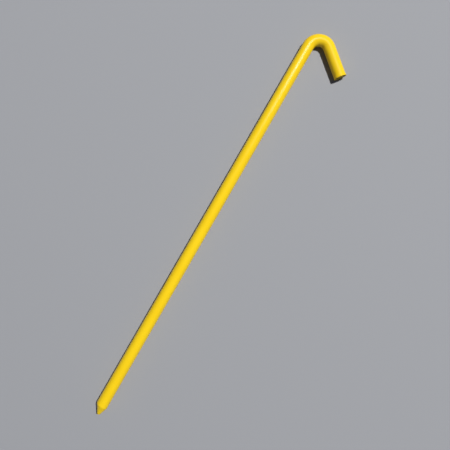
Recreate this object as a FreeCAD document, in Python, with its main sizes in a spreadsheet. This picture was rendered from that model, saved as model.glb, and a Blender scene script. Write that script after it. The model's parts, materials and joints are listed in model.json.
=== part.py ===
import FreeCAD
import Part
import Sketcher

import math
import os

# A hooked ground stake: one round steel bar with a point at one end and a bent hook at the
# other, under a thin yellow coat. The stake lies flat. X runs along the shank towards the
# hook, Z is up, and the hook turns back on the -Y side. The origin is on the shank's axis,
# where the straight shank ends and the bend starts.

OUT_FOLDER = "parts"

# Driving dimensions, in millimetres and degrees.
SIZES = (
    ("overall_length", 457.2),
    ("coated_diameter", 12.5),
    ("coat_thickness", 0.25),
    ("bend_radius", 12.1),
    ("bend_turn", 129.75),
    ("leg_length", 32.9),
    ("end_cover", 0.6),
    ("rim_rounding", 0.6),
    ("point_length", 10.8),
    ("point_offset", 1.35),
    ("shoulder_rounding", 5.0),
    ("apex_radius", 1.4),
    ("apex_rounding", 1.0),
    ("steel_apex_radius", 1.05),
    ("apex_cover", 0.35),
)

# The furthest the hook reaches past the origin is the bend's own outer radius, so the rest
# of the overall length is shank and point.
SHANK = (
    "(Sizes.overall_length - Sizes.point_length"
    " - Sizes.bend_radius - Sizes.coated_diameter / 2)"
)
OUTER_RADIUS = "(Sizes.coated_diameter / 2)"
STEEL_RADIUS = "(Sizes.coated_diameter / 2 - Sizes.coat_thickness)"

# The sketch's own point at its origin, and the codes for the ends and centre of a curve.
ROOT = -1
START = 1
END = 2
CENTRE = 3


def make_sheet(doc):
    sheet = doc.addObject("Spreadsheet::Sheet", "Sizes")
    for row, (alias, value) in enumerate(SIZES, start=1):
        sheet.set(f"A{row}", alias)
        sheet.set(f"B{row}", str(value))
        sheet.setAlias(f"B{row}", alias)
    doc.recompute()
    return sheet


def shank_length(sheet):
    hook_reach = sheet.bend_radius + sheet.coated_diameter / 2
    return sheet.overall_length - sheet.point_length - hook_reach


def origin_plane(body, role):
    for feature in body.Origin.OriginFeatures:
        if feature.Role == role:
            return feature
    raise LookupError(f"{body.Label} has no {role}")


def new_sketch(body, name, role):
    sketch = body.newObject("Sketcher::SketchObject", name)
    sketch.AttachmentSupport = [(origin_plane(body, role), "")]
    sketch.MapMode = "FlatFace"
    return sketch


def constrain(sketch, name, expression, *constraint):
    """Adds a named dimension and binds it to the sheet."""
    index = sketch.addConstraint(Sketcher.Constraint(*constraint))
    sketch.renameConstraint(index, name)
    sketch.setExpression(f"Constraints.{name}", expression)


def circle_sketch(body, name, radius, along, offset=None):
    """A circle square to the shank, at a place along X and, if asked, off towards -Y."""
    sketch = new_sketch(body, name, "YZ_Plane")
    sketch.setExpression("AttachmentOffset.Base.z", f"{along} * 1 mm")
    circle = Part.Circle(FreeCAD.Vector(-1, 0, 0), FreeCAD.Vector(0, 0, 1), 5)
    index = sketch.addGeometry(circle)
    if offset is None:
        sketch.addConstraint(Sketcher.Constraint("Coincident", index, CENTRE, ROOT, START))
    else:
        level = ("DistanceY", index, CENTRE, ROOT, START, 0)
        sketch.addConstraint(Sketcher.Constraint(*level))
        place = ("DistanceX", index, CENTRE, ROOT, START, 1)
        constrain(sketch, "offset", f"{offset} * 1 mm", *place)
    constrain(sketch, "radius", f"{radius} * 1 mm", "Radius", index, 5)
    return sketch


def path_sketch(body, name, sheet, leg):
    """The bar's centre line: the straight shank, the bend, and the hook's leg."""
    sketch = new_sketch(body, name, "XY_Plane")
    bend = sheet.bend_radius
    turn = math.radians(sheet.bend_turn)
    up = FreeCAD.Vector(0, 0, 1)
    origin = FreeCAD.Vector(0, 0, 0)
    centre = FreeCAD.Vector(0, -bend, 0)
    arc_circle = Part.Circle(centre, up, bend)
    arc = Part.ArcOfCircle(arc_circle, math.pi / 2 - turn, math.pi / 2)
    heading = FreeCAD.Vector(math.cos(turn), -math.sin(turn), 0)
    leg_start = arc.StartPoint
    leg_end = leg_start + heading * sheet.leg_length
    shank_start = FreeCAD.Vector(-shank_length(sheet), 0, 0)
    shank = sketch.addGeometry(Part.LineSegment(shank_start, origin))
    elbow = sketch.addGeometry(arc)
    hook_leg = sketch.addGeometry(Part.LineSegment(leg_start, leg_end))
    sketch.addConstraint(Sketcher.Constraint("Coincident", shank, END, ROOT, START))
    sketch.addConstraint(Sketcher.Constraint("Horizontal", shank))
    sketch.addConstraint(Sketcher.Constraint("Tangent", shank, END, elbow, END))
    sketch.addConstraint(Sketcher.Constraint("Tangent", elbow, START, hook_leg, START))
    constrain(sketch, "shank_length", f"{SHANK} * 1 mm", "Distance", shank, 1)
    constrain(sketch, "bend_radius", "Sizes.bend_radius * 1 mm", "Radius", elbow, bend)
    constrain(sketch, "bend_turn", "Sizes.bend_turn * 1 deg", "Angle", elbow, turn)
    constrain(sketch, "leg_length", f"{leg} * 1 mm", "Distance", hook_leg, 1)
    return sketch


def add_bar(body, prefix, sheet, radius, leg):
    """A round bar swept along the shank, the bend and the leg."""
    section = circle_sketch(body, f"{prefix}_section", radius, f"-{SHANK}")
    path = path_sketch(body, f"{prefix}_path", sheet, leg)
    pipe = body.newObject("PartDesign::AdditivePipe", f"{prefix}_bar")
    pipe.Profile = section
    pipe.Spine = (path, ["Edge1", "Edge2", "Edge3"])
    body.Document.recompute()


def add_point(body, prefix, radius, apex_radius, setback):
    """The point: a round taper whose blunt apex stands off the axis, on the hook's side."""
    shoulder = circle_sketch(body, f"{prefix}_shoulder", radius, f"-{SHANK}")
    reach = f"-({SHANK} + Sizes.point_length - {setback})"
    apex = circle_sketch(body, f"{prefix}_apex", apex_radius, reach, "Sizes.point_offset")
    loft = body.newObject("PartDesign::AdditiveLoft", f"{prefix}_point")
    loft.Profile = shoulder
    loft.Sections = [apex]
    loft.Ruled = True
    body.Document.recompute()


def leg_end_centre(sheet):
    turn = math.radians(sheet.bend_turn)
    bend = sheet.bend_radius
    arc_end = FreeCAD.Vector(bend * math.sin(turn), bend * (math.cos(turn) - 1), 0)
    heading = FreeCAD.Vector(math.cos(turn), -math.sin(turn), 0)
    return arc_end + heading * sheet.leg_length


def shoulder_centre(sheet):
    return FreeCAD.Vector(-shank_length(sheet), 0, 0)


def apex_centre(sheet):
    return FreeCAD.Vector(-shank_length(sheet) - sheet.point_length, -sheet.point_offset, 0)


def round_edge_name(feature, radius, centre):
    """The name of the feature's round edge of this radius and centre."""
    for number, edge in enumerate(feature.Shape.Edges, start=1):
        curve = edge.Curve
        if not isinstance(curve, Part.Circle):
            continue
        if abs(curve.Radius - radius) < 0.01 and (curve.Center - centre).Length < 0.01:
            return f"Edge{number}"
    raise LookupError(f"{feature.Label} has no round edge of radius {radius} there")


def soften(body, name, radius, centre, rounding):
    """Rounds the body's round edge of this radius and centre."""
    base = body.Tip
    fillet = body.newObject("PartDesign::Fillet", name)
    fillet.Base = (base, [round_edge_name(base, radius, centre)])
    fillet.setExpression("Radius", f"{rounding} * 1 mm")
    body.Document.recompute()


def make_steel_rod(doc, sheet):
    """The bare bar, everywhere about one coat's thickness or more inside the outer surface."""
    body = doc.addObject("PartDesign::Body", "steel_rod")
    add_bar(body, "steel", sheet, STEEL_RADIUS, "(Sizes.leg_length - Sizes.end_cover)")
    add_point(body, "steel", STEEL_RADIUS, "Sizes.steel_apex_radius", "Sizes.apex_cover")
    radius = sheet.coated_diameter / 2 - sheet.coat_thickness
    rounding = "(Sizes.shoulder_rounding - Sizes.coat_thickness)"
    soften(body, "steel_soft_shoulder", radius, shoulder_centre(sheet), rounding)
    return body


def make_yellow_coating(doc, sheet, steel):
    """The coat: the outer shape with its edges rounded, less the steel."""
    body = doc.addObject("PartDesign::Body", "yellow_coating")
    add_bar(body, "coat", sheet, OUTER_RADIUS, "Sizes.leg_length")
    add_point(body, "coat", OUTER_RADIUS, "Sizes.apex_radius", "0")
    radius = sheet.coated_diameter / 2
    shoulder = shoulder_centre(sheet)
    soften(body, "soft_rim", radius, leg_end_centre(sheet), "Sizes.rim_rounding")
    soften(body, "soft_shoulder", radius, shoulder, "Sizes.shoulder_rounding")
    soften(body, "soft_apex", sheet.apex_radius, apex_centre(sheet), "Sizes.apex_rounding")
    hollow = body.newObject("PartDesign::Boolean", "less_steel")
    hollow.Type = "Cut"
    hollow.Group = [steel]
    body.Document.recompute()
    return body


def check(doc, bodies):
    """Stops before anything is written if a feature failed or a solid is unsound."""
    for item in doc.Objects:
        if "Invalid" in item.State or "Error" in item.State:
            raise RuntimeError(f"{item.Label} failed: {item.State}")
    for body in bodies:
        shape = body.Shape
        if shape.isNull() or not shape.isValid():
            raise RuntimeError(f"{body.Label} has no valid shape")
        if len(shape.Solids) != 1:
            raise RuntimeError(f"{body.Label} is {len(shape.Solids)} solids")


def main():
    doc = FreeCAD.newDocument("hooked_stake")
    sheet = make_sheet(doc)
    steel = make_steel_rod(doc, sheet)
    coat = make_yellow_coating(doc, sheet, steel)
    bodies = [steel, coat]
    doc.recompute()
    check(doc, bodies)
    os.makedirs(OUT_FOLDER, exist_ok=True)
    for body in bodies:
        body.Shape.exportStep(f"{OUT_FOLDER}/{body.Label}.step")
        box = body.Shape.BoundBox
        print(
            f"{body.Label}: {body.Shape.Volume:.1f} mm3,"
            f" X {box.XMin:.2f} to {box.XMax:.2f},"
            f" Y {box.YMin:.2f} to {box.YMax:.2f},"
            f" Z {box.ZMin:.2f} to {box.ZMax:.2f}"
        )


main()
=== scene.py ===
import json
import math

import bmesh
import bpy
from mathutils import Matrix, Vector, noise


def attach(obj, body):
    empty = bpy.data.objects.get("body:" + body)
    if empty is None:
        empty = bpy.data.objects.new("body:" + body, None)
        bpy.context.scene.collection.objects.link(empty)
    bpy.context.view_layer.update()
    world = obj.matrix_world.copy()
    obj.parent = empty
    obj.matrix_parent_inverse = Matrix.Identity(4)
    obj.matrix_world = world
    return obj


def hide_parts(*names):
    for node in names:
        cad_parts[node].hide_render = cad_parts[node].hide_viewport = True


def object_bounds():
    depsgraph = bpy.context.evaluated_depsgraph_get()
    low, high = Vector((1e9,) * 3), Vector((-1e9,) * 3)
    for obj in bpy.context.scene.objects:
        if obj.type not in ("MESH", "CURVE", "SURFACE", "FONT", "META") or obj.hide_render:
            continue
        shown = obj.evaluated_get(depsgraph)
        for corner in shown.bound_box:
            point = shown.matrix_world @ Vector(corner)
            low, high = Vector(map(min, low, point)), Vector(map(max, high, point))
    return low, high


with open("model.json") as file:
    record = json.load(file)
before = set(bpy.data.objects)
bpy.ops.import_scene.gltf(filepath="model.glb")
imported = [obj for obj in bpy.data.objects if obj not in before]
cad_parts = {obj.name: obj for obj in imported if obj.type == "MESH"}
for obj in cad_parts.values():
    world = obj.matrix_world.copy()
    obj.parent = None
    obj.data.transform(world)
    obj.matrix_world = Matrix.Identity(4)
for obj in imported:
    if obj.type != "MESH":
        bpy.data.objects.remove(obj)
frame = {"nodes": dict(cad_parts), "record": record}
cad_low, cad_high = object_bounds()

# ---- Sizes, in metres and radians ---------------------------------------------------------

# The shank's radius and length are the record's own, and the rest of the length is the point
# on one side of the origin and the bend on the other.
SHANK_MOUNT = next(m for m in frame["record"]["mounts"] if m["name"] == "shank")
RADIUS = SHANK_MOUNT["dims"]["r_mm"] / 1000
SHANK_LENGTH = SHANK_MOUNT["dims"]["length_mm"] / 1000
POINT_LENGTH = -cad_low.x - SHANK_LENGTH
BEND_RADIUS = cad_high.x - RADIUS
BEND_TURN = math.radians(129.75)
LEG_LENGTH = 0.0329

UP = Vector((0, 0, 1))
AROUND = 96  # vertices in each ring of the coat
ANGLES = [2 * math.pi * i / AROUND for i in range(AROUND)]  # from the outer side, over the top
SHANK_STEP = 0.0015
LEG_STEP = 0.001
EDGE_STEP = 0.0002
BEND_STEP = math.radians(3)

# The point: straight between soft corners, with a blunt apex off the axis on the hook's side.
# It was ground a little askew, so on that side its shoulder is nearer the tip, and its tip
# is softer.
APEX_OFFSET = 0.00135
APEX_RADIUS = 0.0014
APEX_ROUNDING, HOOK_SIDE_APEX_ROUNDING = 0.0008, 0.0015
SHOULDER_ROUNDING = 0.004
SHOULDER_SLANT = 0.0014
POINT_REACH = 0.004  # how far up the shank the point's own rings go
CORNER_STEPS = 8
FLAT_STEPS, TAPER_STEPS, SHANK_END_STEPS = 3, 24, 3

# The cut end is square to the leg. A fat edge of coat stands round its slightly hollow face,
# and a burr from the cut makes that edge stand out further on the outer side.
EDGE_RADIUS = 0.0005
EDGE_SWELL = 0.00015
BURR_SWELL, BURR_SHARPNESS = 0.00025, 3
BURR_PLACE = math.radians(20)  # it is highest a little above the outer side
EDGE_SWELL_LENGTH = 0.0014
FACE_HOLLOW = 0.0004
GRAIN_SIZE, GRAIN_DEPTH = 0.0014, 0.00005
HOLLOW_RIM, GRAIN_RIM = 0.3, 0.15  # how far in, as a share of the face, each grows
EDGE_RINGS = 8
FACE_RINGS = 16

# The coat's own unevenness: a long swell and a shorter ripple along the bar.
SWELL_SIZE, SWELL_DEPTH = 0.024, 0.00003
RIPPLE_SIZE, RIPPLE_DEPTH = 0.006, 0.000010
# Bending presses the outside of the bend a little flat.
BEND_FLATTENING = 0.00012

# ---- Finish: colours, roughness, and noise cells a metre ----------------------------------

YELLOWS = (0.965, 0.650, 0.010, 1), (0.985, 0.680, 0.013, 1)
CLOUD_CELLS, GLOSS_CELLS, MARK_CELLS, PEEL_CELLS = 40, 160, 900, 650
GLOSS_RANGE = 0.22, 0.27
MARK_ROUGHNESS, MARK_RANGE = 0.05, (0.55, 0.75)
HOOK_ROUGHNESS = 0.2  # grows over the bend and stays along the leg
PEEL_STRENGTH, PEEL_DEPTH = 0.25, 0.00004
COAT_SPECULAR = 0.35

# The cut face's colours are the coat's yellow darkened to olive, a painted shade for the shadow
# the face lies in; noise mixes the two unevenly.
SHADED_FACE_COLOURS = (0.40, 0.28, 0.012, 1), (0.62, 0.43, 0.014, 1)
FACE_TONE_CELLS, FACE_CELLS = 700, 1500
FACE_RANGE = 0.5, 0.7
FACE_SPECULAR = 0.12

STEEL_COLOURS = (0.16, 0.15, 0.15, 1), (0.30, 0.27, 0.24, 1)
BLOOM_CELLS, SCALE_CELLS = 220, 500
STEEL_RANGE = 0.38, 0.62
STEEL_METALLIC = 0.9

# ---- Stage, light and camera --------------------------------------------------------------

# The floor is just under the swollen edge of the cut end, and fades out far from the stake.
FLOOR_DROP = 0.00018
FLOOR_HEIGHT = cad_low.z - FLOOR_DROP
FLOOR_FADE_START, FLOOR_FADE_END = 0.8, 1.9
FLOOR_SIDES = 96
FLOOR_COLOUR = (0.348, 0.357, 0.376, 1)
FLOOR_ROUGHNESS = 0.85

# Each light shines from so far off, in its direction, on the place where the shank is
# brightest. A light's width lies across the shank, and its length along it.
HIGHLIGHT = Vector((-0.0310, 0, RADIUS))
KEY_TOWARDS = Vector((0.412, -0.159, 0.913)).normalized()
KEY_DISTANCE, KEY_SIZE, KEY_ENERGY = 7.0, 0.49, 556
KEY_COLOUR = (1.0, 0.985, 0.96)
GLINT_TOWARDS = Vector((0.372, -0.070, 0.923)).normalized()
GLINT_DISTANCE, GLINT_WIDTH, GLINT_LENGTH, GLINT_ENERGY = 4.0, 3.2, 0.3, 80

HORIZON_COLOUR = (0.046, 0.060, 0.110, 1)
ZENITH_COLOUR = (0.044, 0.055, 0.092, 1)
ZENITH_START = 0.6  # how high, on a unit sky, the zenith's colour begins
BACKDROP_COLOUR = (0.40, 0.40, 0.41, 1)

CAMERA_OFFSET_X, CAMERA_OFFSET_Y = 0.0066, 0.0037  # from the middle of the stake's box
CAMERA_HEIGHT = 0.490
CAMERA_TURN = math.radians(-60.13)
LENS, SENSOR_WIDTH = 37.84, 36  # millimetres


# ---- Shape --------------------------------------------------------------------------------


def smooth(t):
    """0 below 0, 1 above 1, and an even curve between."""
    t = min(max(t, 0.0), 1.0)
    return t * t * (3 - 2 * t)


def spread(first, last, step):
    """Even stations from first to last, both included."""
    count = max(1, round((last - first) / step))
    return [first + (last - first) * i / count for i in range(count + 1)]


def steps(first, last, count):
    """So many even places from first on, last left out."""
    return [first.lerp(last, i / count) for i in range(count)]


def rounded_outline(corners, roundings, counts):
    """Points along an outline whose inner corners are arcs, with a set count on each run."""
    points = []
    start = corners[0]
    for before, corner, after, rounding, count in zip(
        corners, corners[1:], corners[2:], roundings, counts
    ):
        back = (before - corner).normalized()
        onward = (after - corner).normalized()
        half = back.angle(onward) / 2
        reach = rounding / math.tan(half)
        enter, leave = corner + back * reach, corner + onward * reach
        centre = corner + (back + onward).normalized() * rounding / math.sin(half)
        points += steps(start, enter, count)
        for i in range(CORNER_STEPS):
            outward = (enter - centre).slerp(leave - centre, i / CORNER_STEPS)
            points.append(centre + outward * rounding)
        start = leave
    return points + steps(start, corners[-1], counts[-1]) + [corners[-1]]


def ring(centre, side, radii):
    """One ring of points round a centre, from the outer side up over the top."""
    points = []
    for angle, radius in zip(ANGLES, radii):
        reach = side * (radius * math.cos(angle)) + UP * (radius * math.sin(angle))
        points.append(centre + reach)
    return points


def point_rings():
    """From the blunt apex back over the soft shoulder to the shank."""
    apex = Vector((-SHANK_LENGTH - POINT_LENGTH, -APEX_OFFSET, 0))
    outlines = []
    for sign, slant, apex_rounding in (
        (1, 0, APEX_ROUNDING),
        (-1, SHOULDER_SLANT, HOOK_SIDE_APEX_ROUNDING),
    ):
        corners = [
            apex,
            apex + Vector((0, sign * APEX_RADIUS, 0)),
            Vector((-SHANK_LENGTH - slant, sign * RADIUS, 0)),
            Vector((-SHANK_LENGTH + POINT_REACH, sign * RADIUS, 0)),
        ]
        roundings = (apex_rounding, SHOULDER_ROUNDING)
        counts = (FLAT_STEPS, TAPER_STEPS, SHANK_END_STEPS)
        outlines.append(rounded_outline(corners, roundings, counts))
    rings = []
    for far, near in list(zip(*outlines))[1:]:
        half = (far - near) / 2
        rings.append(ring((far + near) / 2, half.normalized(), [half.length] * AROUND))
    return apex, rings


def shank_rings():
    rings = []
    for x in spread(-SHANK_LENGTH + POINT_REACH, 0, SHANK_STEP)[1:]:
        rings.append(ring(Vector((x, 0, 0)), Vector((0, 1, 0)), [RADIUS] * AROUND))
    return rings


def bend_frame(turn):
    """Where the centre line is after this much of the bend, its heading and its outer side."""
    side = Vector((math.sin(turn), math.cos(turn), 0))
    heading = Vector((math.cos(turn), -math.sin(turn), 0))
    return Vector((0, -BEND_RADIUS, 0)) + BEND_RADIUS * side, heading, side


def bend_rings():
    """Round the bend, whose outside is pressed a little flat."""
    rings = []
    for turn in spread(0, BEND_TURN, BEND_STEP)[1:]:
        centre, heading, side = bend_frame(turn)
        flat = BEND_FLATTENING * math.sin(math.pi * turn / BEND_TURN) ** 2
        radii = [RADIUS - flat * max(0.0, math.cos(angle)) ** 2 for angle in ANGLES]
        rings.append(ring(centre, side, radii))
    return rings


def leg_ring(along, radii, relief=None):
    """A ring so far along the leg, moved along it by the relief of the cut face."""
    start, heading, side = bend_frame(BEND_TURN)
    points = ring(start + heading * along, side, radii)
    if relief:
        points = [point + heading * relief(point) for point in points]
    return points


def edge_radii(share):
    """The coat's radii where the cut edge's swelling and its burr are so far grown."""
    radii = []
    for angle in ANGLES:
        burr = BURR_SWELL * max(0.0, math.cos(angle - BURR_PLACE)) ** BURR_SHARPNESS
        radii.append(RADIUS + (EDGE_SWELL + burr) * share)
    return radii


def leg_rings():
    """Along the leg to the fat edge of its cut end, over it, and in across the face."""
    straight_end = LEG_LENGTH - EDGE_RADIUS
    rings = []
    stations = spread(0, straight_end - EDGE_SWELL_LENGTH, LEG_STEP)
    stations += spread(straight_end - EDGE_SWELL_LENGTH, straight_end, EDGE_STEP)[1:]
    for along in stations[1:]:
        grown = smooth(1 - (straight_end - along) / EDGE_SWELL_LENGTH)
        rings.append(leg_ring(along, edge_radii(grown)))
    outer = edge_radii(1)
    for i in range(1, EDGE_RINGS + 1):
        lift = math.pi / 2 * i / EDGE_RINGS
        radii = [radius - EDGE_RADIUS * (1 - math.cos(lift)) for radius in outer]
        rings.append(leg_ring(straight_end + EDGE_RADIUS * math.sin(lift), radii))
    face_start = len(rings)
    for i in range(1, FACE_RINGS):
        share = 1 - i / FACE_RINGS
        hollow = FACE_HOLLOW * smooth((1 - share) / HOLLOW_RIM)
        fade = smooth((1 - share) / GRAIN_RIM)
        radii = [(radius - EDGE_RADIUS) * share for radius in outer]
        rings.append(leg_ring(LEG_LENGTH, radii, face_relief(hollow, fade)))
    return rings, face_start


def face_relief(hollow, fade):
    """How far the cut face stands forward: hollow, and rough inside its edge."""
    def relief(point):
        return GRAIN_DEPTH * fade * noise.noise(point / GRAIN_SIZE) - hollow
    return relief


def uneven(point):
    """How far the coat stands proud here."""
    swell = SWELL_DEPTH * noise.noise(point / SWELL_SIZE)
    return swell + RIPPLE_DEPTH * noise.noise(point / RIPPLE_SIZE)


def coat_rings():
    """The apex, the rings from it to the cut face, and where bend, leg and face start."""
    apex, rings = point_rings()
    rings += shank_rings()
    bend_start = len(rings)
    rings += bend_rings()
    leg_start = len(rings)
    leg, face_start = leg_rings()
    return apex, rings + leg, bend_start, leg_start, leg_start + face_start


def skin(mesh, rows, apex, middle):
    """Closes the rings into one surface, from the apex to the middle of the cut face."""
    for row, following in zip(rows, rows[1:]):
        for i in range(AROUND):
            j = (i + 1) % AROUND
            mesh.faces.new((row[i], row[j], following[j], following[i]))
    for i in range(AROUND):
        j = (i + 1) % AROUND
        mesh.faces.new((apex, rows[0][j], rows[0][i]))
        mesh.faces.new((middle, rows[-1][i], rows[-1][j]))


def make_uneven(mesh):
    """Moves each vertex out or in by the coat's unevenness there."""
    mesh.normal_update()
    moves = [vert.normal * uneven(vert.co) for vert in mesh.verts]
    for vert, move in zip(mesh.verts, moves):
        vert.co += move


def make_coat():
    """The whole outer surface of the coat, as one closed skin."""
    apex_place, rings, bend_start, leg_start, face_start = coat_rings()
    start, heading, side = bend_frame(BEND_TURN)
    middle_place = start + heading * (LEG_LENGTH - FACE_HOLLOW)

    mesh = bmesh.new()
    rubbed = mesh.verts.layers.float.new("rubbed")
    rows = [[mesh.verts.new(p) for p in points] for points in rings]
    apex, middle = mesh.verts.new(apex_place), mesh.verts.new(middle_place)
    skin(mesh, rows, apex, middle)
    make_uneven(mesh)
    bmesh.ops.recalc_face_normals(mesh, faces=mesh.faces)
    for number, row in enumerate(rows):
        share = smooth((number - bend_start) / (leg_start - bend_start))
        for vert in row:
            vert[rubbed] = share
    middle[rubbed] = 1.0
    for row in rows[face_start:]:
        for vert in row:
            for face in vert.link_faces:
                face.material_index = 1  # the cut face's own material

    data = bpy.data.meshes.new("glossy_coat")
    mesh.to_mesh(data)
    mesh.free()
    data.shade_smooth()
    coat = bpy.data.objects.new("glossy_coat", data)
    bpy.context.scene.collection.objects.link(coat)
    return coat


# ---- Materials ----------------------------------------------------------------------------


def new_material(name):
    """A node material, its Principled shader, and functions that add nodes and links."""
    material = bpy.data.materials.new(name)
    material.use_nodes = True
    tree = material.node_tree
    shader = tree.nodes["Principled BSDF"]

    def add(kind, links=(), **settings):
        node = tree.nodes.new(kind)
        for key, value in settings.items():
            setattr(node, key, value)
        for socket, source in links:
            if hasattr(source, "is_output"):
                tree.links.new(source, node.inputs[socket])
            else:
                node.inputs[socket].default_value = source
        return node

    return material, shader, add, tree.links.new


def noise_field(add, place, scale, detail=3.0, roughness=0.5):
    """Noise of so many cells a metre, in the object's own coordinates."""
    settings = [("Vector", place), ("Scale", scale), ("Detail", detail), ("Roughness", roughness)]
    return add("ShaderNodeTexNoise", settings).outputs["Fac"]


def ranged(add, value, low, high, first=0.3, last=0.7):
    """Maps noise, which keeps near its middle, to low..high."""
    limits = [("From Min", first), ("From Max", last), ("To Min", low), ("To Max", high)]
    return add("ShaderNodeMapRange", [("Value", value)] + limits).outputs["Result"]


def mixed(add, factor, first, second):
    """A mix of two colours."""
    settings = [("Factor", factor), ("A", first), ("B", second)]
    node = add("ShaderNodeMix", settings, data_type="RGBA")
    return next(socket for socket in node.outputs if socket.type == "RGBA")


def coat_material():
    """Smooth gloss yellow: faint cloudiness in the colour, orange peel and fine rubbed marks
    in the gloss, which is duller over the hook, where the stake is pulled and struck."""
    material, shader, add, link = new_material("glossy_yellow_coat")
    place = add("ShaderNodeTexCoord").outputs["Object"]
    cloud = ranged(add, noise_field(add, place, CLOUD_CELLS), 0.0, 1.0)
    link(mixed(add, cloud, *YELLOWS), shader.inputs["Base Color"])

    gloss = ranged(add, noise_field(add, place, GLOSS_CELLS, detail=4), *GLOSS_RANGE)
    speckle = noise_field(add, place, MARK_CELLS, detail=2)
    marks = ranged(add, speckle, 0.0, MARK_ROUGHNESS, *MARK_RANGE)
    rubbed = add("ShaderNodeAttribute", attribute_name="rubbed").outputs["Fac"]
    terms = [(0, rubbed), (1, HOOK_ROUGHNESS), (2, gloss)]
    duller = add("ShaderNodeMath", terms, operation="MULTIPLY_ADD")
    total = add("ShaderNodeMath", [(0, duller.outputs[0]), (1, marks)], operation="ADD")
    link(total.outputs[0], shader.inputs["Roughness"])

    peel = noise_field(add, place, PEEL_CELLS, detail=2)
    settings = [("Height", peel), ("Strength", PEEL_STRENGTH), ("Distance", PEEL_DEPTH)]
    bump = add("ShaderNodeBump", settings)
    link(bump.outputs["Normal"], shader.inputs["Normal"])
    shader.inputs["Specular IOR Level"].default_value = COAT_SPECULAR
    return material


def face_material():
    """The coat on the cut face: dull and uneven, its yellow darkened to olive as painted shade.
    """
    material, shader, add, link = new_material("dull_cut_face_painted_shade")
    place = add("ShaderNodeTexCoord").outputs["Object"]
    # The base colour is painted shade: olive tones mixed unevenly over the face.
    face_tone = ranged(add, noise_field(add, place, FACE_TONE_CELLS, detail=4), 0.0, 1.0)
    link(mixed(add, face_tone, *SHADED_FACE_COLOURS), shader.inputs["Base Color"])
    rough = ranged(add, noise_field(add, place, FACE_CELLS), *FACE_RANGE)
    link(rough, shader.inputs["Roughness"])
    shader.inputs["Specular IOR Level"].default_value = FACE_SPECULAR
    return material


def steel_material():
    """Hot-rolled bar: dark grey scale with a duller, browner bloom."""
    material, shader, add, link = new_material("hot_rolled_steel")
    place = add("ShaderNodeTexCoord").outputs["Object"]
    bloom = ranged(add, noise_field(add, place, BLOOM_CELLS, detail=5), 0.0, 1.0)
    link(mixed(add, bloom, *STEEL_COLOURS), shader.inputs["Base Color"])
    rough = ranged(add, noise_field(add, place, SCALE_CELLS), *STEEL_RANGE)
    link(rough, shader.inputs["Roughness"])
    shader.inputs["Metallic"].default_value = STEEL_METALLIC
    return material


def floor_material():
    """Plain pale grey, which thins out to nothing far from the stake."""
    material, shader, add, link = new_material("pale_floor")
    place = add("ShaderNodeTexCoord").outputs["Object"]
    far = add("ShaderNodeVectorMath", [(0, place)], operation="LENGTH").outputs["Value"]
    thin = ranged(add, far, 1.0, 0.0, FLOOR_FADE_START, FLOOR_FADE_END)
    link(thin, shader.inputs["Alpha"])
    shader.inputs["Base Color"].default_value = FLOOR_COLOUR
    shader.inputs["Roughness"].default_value = FLOOR_ROUGHNESS
    return material


# ---- Making the stage, lights and camera --------------------------------------------------


def make_floor():
    middle = (cad_low + cad_high) / 2
    place = (middle.x, middle.y, FLOOR_HEIGHT)
    bpy.ops.mesh.primitive_circle_add(
        vertices=FLOOR_SIDES, radius=FLOOR_FADE_END, fill_type="NGON", location=place
    )
    floor = bpy.context.object
    floor.name = "floor"
    floor.data.materials.append(floor_material())


def add_light(name, towards, distance, width, length, energy):
    """An area light that far from the highlight, its width lying across the shank."""
    data = bpy.data.lights.new(name, "AREA")
    data.shape = "ELLIPSE"
    data.size = width
    data.size_y = length
    data.energy = energy
    across = towards.cross(Vector((1, 0, 0))).normalized()
    lamp = bpy.data.objects.new(name, data)
    turn = Matrix((across, towards.cross(across), towards)).transposed()
    lamp.matrix_world = Matrix.Translation(HIGHLIGHT + towards * distance) @ turn.to_4x4()
    bpy.context.scene.collection.objects.link(lamp)
    return lamp


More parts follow.
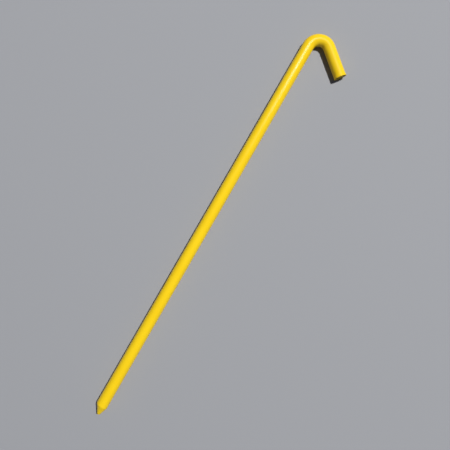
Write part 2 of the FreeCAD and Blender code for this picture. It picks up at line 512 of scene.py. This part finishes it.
def make_lights():
    """A key light high beyond the hook. A wide second light beside it makes the long highlight
    on the shank, so that the highlight's width and strength can be set on their own."""
    key = add_light("key", KEY_TOWARDS, KEY_DISTANCE, KEY_SIZE, KEY_SIZE, KEY_ENERGY)
    key.data.color = KEY_COLOUR
    key.visible_glossy = False
    size = GLINT_WIDTH, GLINT_LENGTH
    glint = add_light("glint", GLINT_TOWARDS, GLINT_DISTANCE, *size, GLINT_ENERGY)
    glint.visible_diffuse = False


def make_world():
    """A soft sky that is brightest near the ground, with a plain pale backdrop to the camera."""
    world = bpy.data.worlds.new("studio")
    bpy.context.scene.world = world
    world.use_nodes = True
    nodes, links = world.node_tree.nodes, world.node_tree.links
    direction = nodes.new("ShaderNodeTexCoord")
    split = nodes.new("ShaderNodeSeparateXYZ")
    ramp = nodes.new("ShaderNodeValToRGB")
    horizon, zenith = ramp.color_ramp.elements
    horizon.position, horizon.color = 0.0, HORIZON_COLOUR
    zenith.position, zenith.color = ZENITH_START, ZENITH_COLOUR
    links.new(direction.outputs["Generated"], split.inputs["Vector"])
    links.new(split.outputs["Z"], ramp.inputs["Fac"])
    backdrop = nodes.new("ShaderNodeMix")
    backdrop.data_type = "RGBA"
    seen = nodes.new("ShaderNodeLightPath")
    links.new(seen.outputs["Is Camera Ray"], backdrop.inputs["Factor"])
    links.new(ramp.outputs["Color"], backdrop.inputs["A"])
    backdrop.inputs["B"].default_value = BACKDROP_COLOUR
    result = next(socket for socket in backdrop.outputs if socket.type == "RGBA")
    links.new(result, nodes["Background"].inputs["Color"])


def make_camera():
    """Looking straight down near the middle of the stake, with the hook at the upper right."""
    middle = (cad_low + cad_high) / 2
    data = bpy.data.cameras.new("camera")
    data.lens = LENS
    data.sensor_width = SENSOR_WIDTH
    camera = bpy.data.objects.new("camera", data)
    place = middle.x + CAMERA_OFFSET_X, middle.y + CAMERA_OFFSET_Y, CAMERA_HEIGHT
    camera.location = place
    camera.rotation_euler = (0, 0, CAMERA_TURN)
    bpy.context.scene.collection.objects.link(camera)
    bpy.context.scene.camera = camera


coat = make_coat()
coat.data.materials.append(coat_material())
coat.data.materials.append(face_material())
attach(coat, "root")
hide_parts("yellow_coating")

steel = frame["nodes"]["steel_rod"]
steel.data.materials.clear()
steel.data.materials.append(steel_material())

make_floor()
make_lights()
make_world()
make_camera()
bpy.context.scene.view_settings.view_transform = "Standard"
